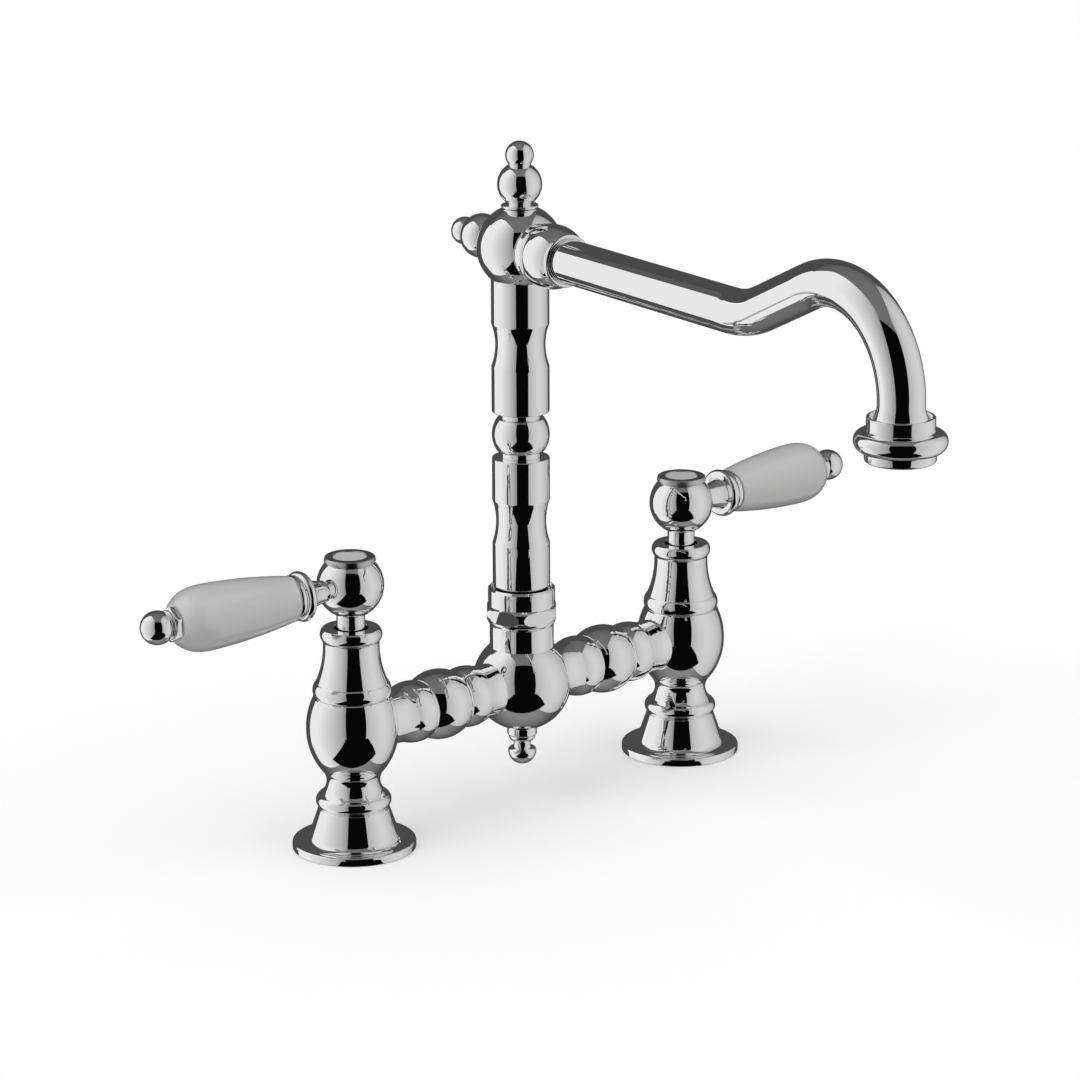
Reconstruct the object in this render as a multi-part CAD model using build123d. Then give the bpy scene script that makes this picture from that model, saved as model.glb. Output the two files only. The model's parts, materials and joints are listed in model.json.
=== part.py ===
from build123d import *
import os
from math import cos, hypot, radians, sin, sqrt

# Deck-mounted bridge kitchen tap: two pillar valves with porcelain-sleeved levers, a turned
# bridge between them, and a turned column that swivels with its swan spout.
# Frame: the origin is on the deck, midway between the two valve axes; +X points to the right
# valve, the spout points to the front (-Y), and +Z is up. All sizes are in millimetres.

# ---- Layout at rest ----
valve_spacing = 200.0
spout_rest_turn = -6.5
left_lever_rest_turn = 3.9
right_lever_rest_turn = 1.65

# ---- Clearances and small breaks ----
running_clearance = 0.06
seat_clearance = 0.1
thread_clearance = 0.05
disc_clearance = 0.05
edge_break = 0.4

# ---- Foot: flange and cone, with the threaded inlet ----
flange_radius = 27.7
flange_thickness = 3.8
flange_edge_round = 1.2
cone_base_radius = 20.3
cone_top_radius = 15.85
cone_fillet = 2.0
foot_height = 19.2
inlet_radius = 10.48
inlet_depth = 14.0
foot_bore_radius = 7.0
foot_spigot_radius = 9.5
foot_spigot_length = 8.8
base_seal_inner_radius = 19.8
base_seal_width = 4.4
base_seal_thickness = 2.2

# ---- Pear body of each valve ----
base_bead_edge_radius = 15.6
base_bead_height = 6.0
base_bead_round = 3.4
pear_neck_radius = 12.0
pear_neck_rise = 6.3
pear_neck_round = 7.7
pear_heel_radius = 13.5
pear_heel_rise = 4.5
belly_radius = 20.67
belly_rise = 19.7
lower_belly_round = 30.3
upper_belly_round = 33.2
shoulder_radius = 17.3
shoulder_rise = 15.3
seat_port_radius = 5.5
seat_port_length = 4.0
seat_drop = 8.7
chamber_radius = 11.5
chamber_rise = 8.3
valve_thread_radius = 10.1
valve_thread_length = 6.5
bonnet_spigot_radius = 14.5
bonnet_spigot_length = 5.0
hex_pocket_radius = 12.2

# ---- Bridge arms, measured out from the axis that each stands on ----
arm_radius = 12.1
arm_flare_start = 22.5
arm_flare_round = 26.0
arm_bead_start = 28.2
arm_bead_foot_radius = 13.0
arm_bead_round = 16.0
arm_end_radius = 12.9
arm_length = 39.8
arm_bore_radius = 6.3
arm_socket_radius = 9.0
arm_socket_depth = 12.0
large_bead_edge_radius = 12.9
large_bead_round = 18.5
link_spigot_length = 11.5
link_seal_section = 0.75
link_groove_setback = 5.0
link_groove_width = 1.9

# ---- Bell bonnet over each cartridge ----
bonnet_bead_foot_radius = 17.0
bonnet_bead_height = 5.8
bonnet_bead_round = 5.4
bonnet_bead_top_radius = 16.6
bell_foot_radius = 15.8
bell_foot_rise = 7.0
bell_waist_radius = 12.54
bell_waist_rise = 16.0
bell_round = 40.9
bell_neck_rise = 2.4
bell_collar_height = 6.0
bell_collar_round = 4.1
bonnet_wall = 1.7
bonnet_cavity_radius = 13.2
bonnet_cavity_rise = 13.0
bonnet_mouth_radius = 7.7
bonnet_mouth_depth = 3.4

# ---- Quarter-turn ceramic cartridge ----
seat_seal_inner_radius = 5.8
seat_seal_outer_radius = 8.8
seat_seal_thickness = 2.0
disc_radius = 8.1
disc_thickness = 3.0
disc_port_inner_radius = 2.2
disc_port_outer_radius = 6.4
disc_port_angle = 80.0
cup_wall = 1.0
cup_window_width = 8.0
cup_window_height = 5.0
cartridge_hex_flats = 20.0
cartridge_hex_height = 5.0
tower_radius = 9.6
tower_height = 14.0
gland_radius = 8.0
gland_height = 5.0
spindle_head_radius = 7.6
spindle_head_height = 5.0
spindle_shaft_radius = 5.4
spindle_stem_radius = 3.9
spindle_stem_flats = 6.4
spindle_thread_depth = 10.0

# ---- Lever hub and index cap ----
hub_radius = 14.95
hub_rise = 19.6
hub_neck_radius = 6.4
hub_neck_overlap = 4.6
hub_flat_rise = 10.7
hub_web_drop = 9.6
hub_web_thickness = 2.0
hub_pocket_radius = 6.0
hub_screw_radius = 2.0
hub_screw_length = 9.0
hub_screw_head_radius = 3.6
hub_screw_head_height = 3.0
hub_screw_socket_flats = 3.0
index_ring_radius = 11.5
index_ring_height = 2.5
index_ring_round = 8.0
index_skirt_depth = 3.0
index_skirt_wall = 1.2
index_button_radius = 7.5
index_button_thickness = 1.1
index_pocket_depth = 1.5

# ---- Lever arm and porcelain sleeve, measured out from the hub's axis ----
lever_drop = 0.5
lever_root = 8.3
stub_radius = 4.9
stub_straight_end = 12.5
stub_flare_radius = 7.5
stub_flare_round = 28.5
collar_start = 24.4
collar_edge_radius = 9.7
collar_thickness = 4.2
collar_round = 2.2
collar_groove_width = 0.6
sleeve_ring_edge_radius = 9.75
sleeve_ring_thickness = 2.8
sleeve_ring_round = 2.4
tie_rod_radius = 3.0
tie_rod_engagement = 6.0
cushion_radius = 8.0
tip_cushion_radius = 6.7
cushion_thickness = 0.4
sleeve_bore_radius = 3.4
sleeve_root_radius = 10.3
sleeve_belly_radius = 14.55
sleeve_belly_reach = 43.5
sleeve_root_round = 274.0
sleeve_shoulder_reach = 51.5
sleeve_shoulder_radius = 13.6
sleeve_shoulder_round = 29.0
sleeve_length = 59.2
sleeve_tip_radius = 8.25
sleeve_tip_round = 15.8
tip_washer_flats = 13.7
tip_washer_thickness = 2.4
tip_washer_bevel = 0.6
tip_ball_radius = 7.45
tip_ball_rise = 6.0
tip_flange_radius = 5.9
tip_flange_thickness = 1.3

# ---- Centre body of the bridge ----
centre_ball_radius = 22.7
centre_neck_radius = 14.65
centre_neck_rise = 28.1
nut_thread_radius = 13.5
nut_thread_length = 9.1
ring_seat_radius = 12.0
centre_riser_radius = 7.0

# ---- Swivel joint: union nut, split ring, seals ----
nut_height = 17.5
nut_barrel_radius = 15.3
nut_foot_radius = 14.7
nut_belt_edge_radius = 15.82
nut_belt_radius = 17.5
nut_belt_start = 2.3
nut_belt_end = 8.7
nut_hex_flats = 31.5
nut_hex_turn = -11.5
nut_top_bevel = 0.9
nut_recess_radius = 14.0
nut_recess_depth = 2.0
split_ring_thickness = 4.2
split_ring_radius = 14.0
split_ring_gap = 2.0
ring_groove_radius = 11.0
column_flange_height = 4.1
swivel_tail_radius = 9.44
swivel_tail_length = 22.0
swivel_tail_bore = 6.0
swivel_seal_section = 1.0
swivel_groove_width = 2.6
swivel_seal_setback = 4.0
swivel_seal_pitch = 9.0

# ---- Turned column ----
column_radius = 13.1
column_bore = 8.0
column_foot_radius = 12.2
column_foot_rise = 0.7
column_foot_round = 0.5
lower_column_length = 60.9
lower_waist_start = 20.8
lower_waist_length = 20.4
lower_waist_depth = 1.73
knop_radius = 13.1
knop_half_height = 7.7
knop_neck_radius = 9.1
knop_neck_height = 2.9
knop_spigot_radius = 8.6
knop_spigot_length = 9.0
knop_bore = 6.5
upper_column_length = 61.1
upper_waist_start = 21.0
upper_waist_length = 19.7
upper_waist_depth = 1.81
column_top_spigot_radius = 8.2
column_top_spigot_length = 5.2

# ---- Elbow ball and finials ----
elbow_radius = 19.4
elbow_bore = 6.3
elbow_spout_bore = 7.5
finial_seat = 18.2
finial_stud_radius = 3.5
finial_stud_length = 7.0
finial_disc_radius = 8.2
finial_disc_thickness = 1.2
finial_neck_radius = 5.4
top_ball_radius = 10.06
top_ball_rise = 28.45
top_tip_radius = 6.4
top_tip_rise = 41.55
back_ball_radius = 10.13
back_ball_rise = 29.8
back_tip_radius = 6.35
back_tip_rise = 43.7
finial_waist_radius = 4.95
bottom_stud_radius = 3.0
bottom_stud_length = 8.0
bottom_cup_radius = 6.9
bottom_cup_rim = 3.65
bottom_step_radius = 6.3
bottom_step_drop = 3.9
bottom_cup_round = 3.3
bottom_throat_radius = 3.95
bottom_throat_end = 9.6
bottom_rim_top = 10.15
bottom_rim_inner_radius = 4.9
bottom_rim_round = 1.6
bottom_tip_radius = 6.5

# ---- Spout tube and its bell collar, measured out from the column's axis ----
collar_seat = 14.2
bell_back_radius = 13.0
bell_ring_start = 17.8
bell_ring_edge_radius = 13.2
bell_ring_round = 1.75
bell_ring_width = 2.6
bell_dome_start_radius = 13.9
bell_dome_end = 35.3
bell_dome_end_radius = 11.25
bell_dome_round = 17.6
bell_lip_round = 1.0
bell_lip_width = 1.9
bell_mouth_clearance = 0.6
bell_mouth_depth = 1.0
tube_radius = 9.8
tube_wall = 1.5
tube_root = 9.5
arm_run = 154.3
rise_angle = 25.94
rise_round = 50.7
rise_run = 33.2
fall_round = 41.1
tube_tail = 10.0
flare_radius = 11.2
flare_start = 0.8
flare_length = 4.6

# ---- Outlet and aerator ----
outlet_drop = 4.8
outlet_collar_radius = 13.95
outlet_collar_height = 6.0
outlet_mouth_radius = 12.7
outlet_mouth_depth = 2.2
outlet_bead_radius = 19.06
outlet_bead_foot_radius = 14.5
outlet_bead_top_radius = 15.1
outlet_bead_top_height = 4.0
outlet_bead_bottom_height = 4.75
outlet_bore_radius = 8.5
aerator_thread_radius = 12.65
aerator_thread_length = 6.4
aerator_rim_radius = 14.6
aerator_rim_height = 3.9
aerator_rim_round = 1.2
aerator_bore_radius = 11.4
aerator_lip = 1.2
screen_thickness = 0.8
screen_slot = 1.7
screen_bar = 0.9
insert_length = 5.0
insert_hole_radius = 1.2
insert_hole_circle = 6.8
insert_hole_count = 8
washer_thickness = 1.2
washer_inner_radius = 9.0

# ---- Heights and reaches worked out from the sizes above ----
half_spacing = valve_spacing / 2
bead_top = foot_height + base_bead_height
neck_height = bead_top + pear_neck_rise
heel_height = neck_height + pear_heel_rise
bridge_height = heel_height + belly_rise
shoulder_height = bridge_height + shoulder_rise
bonnet_spigot_top = shoulder_height + bonnet_spigot_length
seat_height = bridge_height - seat_drop
disc_height = seat_height + seat_seal_thickness
moving_disc_height = disc_height + disc_thickness + disc_clearance
spindle_head_base = moving_disc_height + disc_thickness
thread_height = bridge_height + chamber_rise
hex_height = thread_height + valve_thread_length
gland_top = hex_height + cartridge_hex_height + tower_height + gland_height
bell_foot_height = shoulder_height + bell_foot_rise
waist_height = bell_foot_height + bell_waist_rise
bonnet_top = waist_height + bell_neck_rise + bell_collar_height
hub_height = bonnet_top + hub_rise
hub_bottom = bonnet_top - hub_neck_overlap
hub_top = hub_height + hub_flat_rise
web_height = hub_height - hub_web_drop
lever_height = hub_height - lever_drop
cup_bore_radius = disc_radius + seat_clearance
cup_radius = cup_bore_radius + cup_wall

sleeve_start = collar_start + collar_thickness + collar_groove_width + sleeve_ring_thickness
porcelain_start = sleeve_start + cushion_thickness
porcelain_end = porcelain_start + sleeve_length
washer_start = porcelain_end + cushion_thickness
washer_end = washer_start + tip_washer_thickness
tip_ball_reach = washer_end + tip_ball_rise

link_length = valve_spacing / 2 - 2 * arm_length
centre_shoulder = bridge_height + centre_neck_rise
centre_top = centre_shoulder + nut_thread_length
nut_bottom = centre_shoulder + seat_clearance
nut_top = nut_bottom + nut_height
split_ring_top = centre_top + split_ring_thickness
column_shoulder = split_ring_top + seat_clearance
column_flange_top = centre_top - seat_clearance
tail_top = column_flange_top - column_flange_height
tail_bottom = tail_top - swivel_tail_length
lower_column_top = nut_top + lower_column_length
knop_height = lower_column_top + knop_neck_height + knop_half_height
upper_column_bottom = knop_height + knop_half_height + knop_neck_height
upper_column_top = upper_column_bottom + upper_column_length
elbow_height = upper_column_top + sqrt(elbow_radius**2 - column_radius**2)
finial_root = finial_seat - finial_stud_length

rise = radians(rise_angle)
spout_reach = arm_run + rise_round * sin(rise) + rise_run * cos(rise) + fall_round * (1 + sin(rise))
spout_end_height = (
    elbow_height + rise_round * (1 - cos(rise)) + rise_run * sin(rise) - fall_round * cos(rise)
)
outlet_top = spout_end_height - outlet_drop
bead_middle = outlet_top - outlet_collar_height - outlet_bead_top_height
outlet_bottom = bead_middle - outlet_bead_bottom_height
outlet_socket_bottom = spout_end_height - tube_tail - seat_clearance
aerator_bottom = outlet_bottom - aerator_rim_height
aerator_top = outlet_bottom + aerator_thread_length
washer_top = aerator_top + washer_thickness


# ---- Ways of making a shape ----


def outline(*points):
    """Closed face through (radius, height) points. A third value is the radius of the arc that
    leads to the point, and a positive one bulges to the right of the way it is drawn."""
    edges = []
    start = points[-1][:2]
    for point in points:
        end = point[:2]
        if len(point) == 2:
            edges.append(Line(start, end))
        else:
            span = hypot(end[0] - start[0], end[1] - start[1])
            bow = abs(point[2]) - sqrt(point[2] ** 2 - span**2 / 4)
            side = bow / span if point[2] > 0 else -bow / span
            middle_radius = (start[0] + end[0]) / 2 + side * (end[1] - start[1])
            middle_height = (start[1] + end[1]) / 2 + side * (start[0] - end[0])
            edges.append(ThreePointArc(start, (middle_radius, middle_height), end))
        start = end
    return make_face(Curve() + edges)


def turned(*points):
    """Solid of revolution about Z."""
    return revolve(Plane.XZ * outline(*points), Axis.Z)


def along_x(shape):
    """Lay a piece that is turned about Z along +X."""
    return Rot(0, 90, 0) * shape


def ring(inner, outer, low, high):
    """Plain ring about Z."""
    return turned((inner, low), (outer, low), (outer, high), (inner, high))


def rod(radius, low, high):
    """Plain round bar about Z."""
    return Pos(0, 0, low) * extrude(Circle(radius), high - low)


def hex_bar(flats, low, high):
    """Hexagonal bar about Z, sized across its flats."""
    return Pos(0, 0, low) * extrude(RegularPolygon(flats / 2, 6, major_radius=False), high - low)


def double_flat_bar(radius, flats, low, high):
    """Round bar about Z with two opposite flats."""
    return Pos(0, 0, low) * extrude(Circle(radius) & Rectangle(flats, 2 * radius), high - low)


def round_for(length, depth):
    """Radius of the arc that dips by a depth over a length."""
    return (length**2 / 4 + depth**2) / (2 * depth)


# ---- Pillar valve, about Z ----


def make_foot():
    groove_inner = base_seal_inner_radius - seat_clearance
    groove_outer = base_seal_inner_radius + base_seal_width + seat_clearance
    return turned(
        (inlet_radius, 0),
        (groove_inner, 0),
        (groove_inner, base_seal_thickness),
        (groove_outer, base_seal_thickness),
        (groove_outer, 0),
        (flange_radius - edge_break, 0),
        (flange_radius, edge_break, edge_break),
        (flange_radius, flange_thickness - flange_edge_round),
        (flange_radius - flange_edge_round, flange_thickness, flange_edge_round),
        (cone_base_radius + cone_fillet, flange_thickness),
        (cone_base_radius, flange_thickness + cone_fillet, -1.1 * cone_fillet),
        (cone_top_radius, foot_height - edge_break),
        (cone_top_radius - edge_break, foot_height),
        (foot_spigot_radius, foot_height),
        (foot_spigot_radius, foot_height + foot_spigot_length),
        (foot_bore_radius, foot_height + foot_spigot_length),
        (foot_bore_radius, inlet_depth),
        (inlet_radius, inlet_depth),
    )


def make_base_seal():
    outer = base_seal_inner_radius + base_seal_width
    return ring(base_seal_inner_radius, outer, 0, base_seal_thickness)


def make_arm():
    """Bridge arm, solid, along +X from the axis that it stands on."""
    return along_x(
        turned(
            (0, 0),
            (arm_radius, 0),
            (arm_radius, arm_flare_start),
            (arm_bead_foot_radius, arm_bead_start, -arm_flare_round),
            (arm_end_radius, arm_length, arm_bead_round),
            (0, arm_length),
        )
    )


def make_arm_bore():
    """Waterway and link socket of a bridge arm, along +X."""
    socket_start = arm_length - arm_socket_depth
    return along_x(
        turned(
            (0, 0),
            (arm_bore_radius, 0),
            (arm_bore_radius, socket_start),
            (arm_socket_radius, socket_start),
            (arm_socket_radius, arm_length),
            (0, arm_length),
        )
    )


def make_valve_body():
    socket_radius = foot_spigot_radius + thread_clearance
    socket_top = foot_height + foot_spigot_length + seat_clearance
    thread_bore = valve_thread_radius + thread_clearance
    casting = turned(
        (0, foot_height),
        (base_bead_edge_radius - edge_break, foot_height),
        (base_bead_edge_radius, foot_height + edge_break),
        (base_bead_edge_radius - edge_break, bead_top, base_bead_round),
        (pear_neck_radius, neck_height, -pear_neck_round),
        (pear_heel_radius, heel_height, -pear_neck_round),
        (belly_radius, bridge_height, lower_belly_round),
        (shoulder_radius, shoulder_height - edge_break, upper_belly_round),
        (shoulder_radius - edge_break, shoulder_height),
        (bonnet_spigot_radius, shoulder_height),
        (bonnet_spigot_radius, bonnet_spigot_top),
        (0, bonnet_spigot_top),
    )
    inside = turned(
        (0, foot_height),
        (socket_radius, foot_height),
        (socket_radius, socket_top),
        (foot_bore_radius, socket_top),
        (foot_bore_radius, seat_height - seat_port_length),
        (seat_port_radius, seat_height - seat_port_length),
        (seat_port_radius, seat_height),
        (chamber_radius, seat_height),
        (chamber_radius, thread_height),
        (thread_bore, thread_height),
        (thread_bore, hex_height),
        (hex_pocket_radius, hex_height),
        (hex_pocket_radius, bonnet_spigot_top),
        (0, bonnet_spigot_top),
    )
    at_bridge = Pos(0, 0, bridge_height)
    return casting + at_bridge * make_arm() - inside - at_bridge * make_arm_bore()


def make_bonnet():
    spigot_bore = bonnet_spigot_radius + thread_clearance
    cavity_bottom = bonnet_spigot_top + seat_clearance
    shaft_radius = bell_waist_radius - bonnet_wall
    mouth_bottom = bonnet_top - bonnet_mouth_depth
    return turned(
        (spigot_bore, shoulder_height),
        (bonnet_bead_foot_radius - edge_break, shoulder_height),
        (bonnet_bead_foot_radius, shoulder_height + edge_break),
        (bonnet_bead_top_radius, shoulder_height + bonnet_bead_height, bonnet_bead_round),
        (bell_foot_radius, bell_foot_height),
        (bell_waist_radius, waist_height, -bell_round),
        (bell_waist_radius, bonnet_top - bell_collar_height),
        (bell_waist_radius, bonnet_top, bell_collar_round),
        (bonnet_mouth_radius, bonnet_top),
        (bonnet_mouth_radius, mouth_bottom),
        (shaft_radius, mouth_bottom - bonnet_wall),
        (shaft_radius, shoulder_height + bonnet_cavity_rise),
        (bonnet_cavity_radius, cavity_bottom + edge_break),
        (bonnet_cavity_radius, cavity_bottom),
        (spigot_bore, cavity_bottom),
    )


# ---- Quarter-turn ceramic cartridge, about Z ----


def make_seat_seal():
    return ring(seat_seal_inner_radius, seat_seal_outer_radius, seat_height, disc_height)


def port_sector():
    """Flat shape of one port of a ceramic disc."""
    half = radians(disc_port_angle / 2)
    inner = disc_port_inner_radius
    outer = disc_port_outer_radius
    corners = [
        (inner * cos(half), -inner * sin(half)),
        (outer * cos(half), -outer * sin(half)),
        (outer * cos(half), outer * sin(half)),
        (inner * cos(half), inner * sin(half)),
    ]
    sides = [
        Line(corners[0], corners[1]),
        ThreePointArc(corners[1], (outer, 0), corners[2]),
        Line(corners[2], corners[3]),
        ThreePointArc(corners[3], (inner, 0), corners[0]),
    ]
    return make_face(Curve() + sides)


def make_disc(height, turn):
    """Ceramic disc with two opposite ports, turned so that it opens or closes the other."""
    flat = Circle(disc_radius)
    for port in (0, 180):
        flat -= Rot(0, 0, port + turn) * port_sector()
    return Pos(0, 0, height) * extrude(flat, disc_thickness)


def make_cartridge():
    hex_top = hex_height + cartridge_hex_height
    tower_top = hex_top + tower_height
    cup_top = spindle_head_base + spindle_head_height + seat_clearance
    shaft_bore = spindle_shaft_radius + running_clearance
    shell = turned(
        (cup_bore_radius, disc_height),
        (cup_radius, disc_height),
        (cup_radius, thread_height),
        (valve_thread_radius, thread_height),
        (valve_thread_radius, hex_height),
        (tower_radius, hex_height),
        (tower_radius, tower_top),
        (gland_radius, tower_top),
        (gland_radius, gland_top),
        (shaft_bore, gland_top),
        (shaft_bore, cup_top),
        (cup_bore_radius, cup_top),
    )
    flange = hex_bar(cartridge_hex_flats, hex_height, hex_top) - rod(tower_radius, hex_height, hex_top)
    window_height = moving_disc_height + disc_thickness / 2
    window = Pos(0, 0, window_height + cup_window_height / 2) * Box(
        3 * cup_radius, cup_window_width, cup_window_height
    )
    return shell + flange - window


def make_spindle():
    head_top = spindle_head_base + spindle_head_height
    stem_start = gland_top + edge_break
    stem_top = web_height - edge_break
    turned_part = turned(
        (0, spindle_head_base),
        (spindle_head_radius, spindle_head_base),
        (spindle_head_radius, head_top),
        (spindle_shaft_radius, head_top),
        (spindle_shaft_radius, stem_start),
        (0, stem_start),
    )
    stem = double_flat_bar(spindle_stem_radius, spindle_stem_flats, stem_start, stem_top)
    thread = rod(hub_screw_radius + thread_clearance, stem_top - spindle_thread_depth, stem_top)
    return turned_part + stem - thread


# ---- Lever, with its arm along +X ----


def make_hub():
    ball_start = hub_height - sqrt(hub_radius**2 - hub_neck_radius**2)
    flat_radius = sqrt(hub_radius**2 - hub_flat_rise**2)
    pocket_bottom = web_height + hub_web_thickness
    ball = turned(
        (0, hub_bottom),
        (hub_neck_radius - edge_break, hub_bottom),
        (hub_neck_radius, hub_bottom + edge_break),
        (hub_neck_radius, ball_start),
        (hub_radius, hub_height, hub_radius),
        (flat_radius, hub_top, hub_radius),
        (hub_pocket_radius, hub_top),
        (hub_pocket_radius, pocket_bottom),
        (0, pocket_bottom),
    )
    drive = double_flat_bar(
        spindle_stem_radius + thread_clearance,
        spindle_stem_flats + 2 * thread_clearance,
        hub_bottom,
        web_height,
    )
    screw_hole = rod(hub_screw_radius + seat_clearance, web_height, pocket_bottom)
    arm_hole = rod(stub_radius + thread_clearance, 0, hub_radius)
    return ball - drive - screw_hole - Pos(0, 0, lever_height) * along_x(arm_hole)


def make_index_ring():
    skirt_radius = hub_pocket_radius - thread_clearance
    skirt_bore = skirt_radius - index_skirt_wall
    top = hub_top + index_ring_height
    pocket_bottom = top - index_pocket_depth
    pocket_radius = index_button_radius + seat_clearance
    return turned(
        (skirt_bore, hub_top - index_skirt_depth),
        (skirt_radius, hub_top - index_skirt_depth),
        (skirt_radius, hub_top),
        (index_ring_radius - edge_break, hub_top),
        (index_ring_radius, hub_top + edge_break),
        (index_ring_radius - edge_break, top, index_ring_round),
        (pocket_radius, top),
        (pocket_radius, pocket_bottom),
        (0, pocket_bottom),
        (0, hub_top),
        (skirt_bore, hub_top),
    )


def make_index_button():
    bottom = hub_top + index_ring_height - index_pocket_depth
    return rod(index_button_radius, bottom, bottom + index_button_thickness)


def make_hub_screw():
    head_bottom = web_height + hub_web_thickness
    head_top = head_bottom + hub_screw_head_height
    shank = rod(hub_screw_radius, head_bottom - hub_screw_length, head_bottom)
    head = rod(hub_screw_head_radius, head_bottom, head_top)
    socket = hex_bar(hub_screw_socket_flats, head_top - hub_screw_head_height / 2, head_top)
    return shank + head - socket


def make_lever_arm():
    collar_end = collar_start + collar_thickness
    ring_start = collar_end + collar_groove_width
    thread_bore = tie_rod_radius + thread_clearance
    return turned(
        (0, lever_root),
        (stub_radius, lever_root),
        (stub_radius, stub_straight_end),
        (stub_flare_radius, collar_start, -stub_flare_round),
        (collar_edge_radius, collar_start),
        (collar_edge_radius, collar_end, collar_round),
        (collar_edge_radius, ring_start),
        (sleeve_ring_edge_radius, ring_start),
        (sleeve_ring_edge_radius, sleeve_start, sleeve_ring_round),
        (thread_bore, sleeve_start),
        (thread_bore, sleeve_start - tie_rod_engagement),
        (0, sleeve_start - tie_rod_engagement),
    )


def make_tie_rod():
    start = sleeve_start - tie_rod_engagement + seat_clearance
    return rod(tie_rod_radius, start, tip_ball_reach - seat_clearance)


def make_cushions():
    bore = sleeve_bore_radius
    root = ring(bore, cushion_radius, sleeve_start, porcelain_start)
    tip = ring(bore, tip_cushion_radius, porcelain_end, washer_start)
    return root + tip


def make_sleeve():
    return turned(
        (sleeve_bore_radius, porcelain_start),
        (sleeve_root_radius - edge_break, porcelain_start),
        (sleeve_root_radius, porcelain_start + edge_break, edge_break),
        (sleeve_belly_radius, porcelain_start + sleeve_belly_reach, sleeve_root_round),
        (sleeve_shoulder_radius, porcelain_start + sleeve_shoulder_reach, sleeve_shoulder_round),
        (sleeve_tip_radius, porcelain_end, sleeve_tip_round),
        (sleeve_bore_radius, porcelain_end),
    )


def make_tip_washer():
    """Hexagonal washer with a bevelled outer face."""
    corner = tip_washer_flats / sqrt(3)
    bevelled = turned(
        (tie_rod_radius + seat_clearance, washer_start),
        (corner, washer_start),
        (corner, washer_end - tip_washer_bevel),
        (corner - 2 * tip_washer_bevel, washer_end),
        (tie_rod_radius + seat_clearance, washer_end),
    )
    return bevelled & hex_bar(tip_washer_flats, washer_start, washer_end)


def make_tip_ball():
    bore = tie_rod_radius + thread_clearance
    flange_end = washer_end + tip_flange_thickness
    foot_radius = sqrt(tip_ball_radius**2 - (tip_ball_reach - flange_end) ** 2)
    return turned(
        (bore, washer_end),
        (tip_flange_radius, washer_end),
        (tip_flange_radius, flange_end, tip_flange_thickness / 2),
        (foot_radius, flange_end),
        (tip_ball_radius, tip_ball_reach, tip_ball_radius),
        (0, tip_ball_reach + tip_ball_radius, tip_ball_radius),
        (0, tip_ball_reach),
        (bore, tip_ball_reach),
    )


# ---- Bridge ----


def make_link():
    """Large bead between two arms, with a sealed spigot at each end, along +X about its middle."""
    half = link_length / 2
    end = half + link_spigot_length
    spigot_radius = arm_socket_radius - thread_clearance
    body = turned(
        (arm_bore_radius, -end),
        (spigot_radius, -end),
        (spigot_radius, -half),
        (large_bead_edge_radius, -half),
        (large_bead_edge_radius, half, large_bead_round),
        (spigot_radius, half),
        (spigot_radius, end),
        (arm_bore_radius, end),
    )
    groove_floor = spigot_radius - 2 * link_seal_section - thread_clearance
    for side in (-1, 1):
        middle = side * (end - link_groove_setback)
        low = middle - link_groove_width / 2
        body -= ring(groove_floor, arm_socket_radius, low, low + link_groove_width)
    return along_x(body)


def make_link_seals():
    """The two seals of one link, along +X about its middle."""
    middle_radius = arm_socket_radius - thread_clearance - link_seal_section
    place = link_length / 2 + link_spigot_length - link_groove_setback
    seals = [
        Pos(0, 0, side * place) * Torus(middle_radius, link_seal_section) for side in (-1, 1)
    ]
    return along_x(seals[0] + seals[1])


def make_centre_body():
    flat = sqrt(centre_ball_radius**2 - bottom_cup_radius**2)
    neck_start = bridge_height + sqrt(centre_ball_radius**2 - centre_neck_radius**2)
    casting = turned(
        (0, bridge_height - flat),
        (bottom_cup_radius, bridge_height - flat),
        (centre_ball_radius, bridge_height, centre_ball_radius),
        (centre_neck_radius, neck_start, centre_ball_radius),
        (centre_neck_radius, centre_shoulder - edge_break),
        (centre_neck_radius - edge_break, centre_shoulder),
        (nut_thread_radius, centre_shoulder),
        (nut_thread_radius, centre_top),
        (0, centre_top),
    )
    socket_radius = swivel_tail_radius + running_clearance
    socket_bottom = tail_bottom - edge_break
    inside = turned(
        (0, bridge_height),
        (centre_riser_radius, bridge_height),
        (centre_riser_radius, socket_bottom),
        (socket_radius, socket_bottom),
        (socket_radius, tail_top - seat_clearance),
        (ring_seat_radius, tail_top - seat_clearance),
        (ring_seat_radius, centre_top),
        (0, centre_top),
    )
    stud_bottom = bridge_height - flat
    stud_hole = rod(
        bottom_stud_radius + thread_clearance,
        stud_bottom,
        stud_bottom + bottom_stud_length + edge_break,
    )
    body = casting
    for turn in (0, 180):
        body += Pos(0, 0, bridge_height) * Rot(0, 0, turn) * make_arm()
    for turn in (0, 180):
        body -= Pos(0, 0, bridge_height) * Rot(0, 0, turn) * make_arm_bore()
    return body - inside - stud_hole


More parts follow.
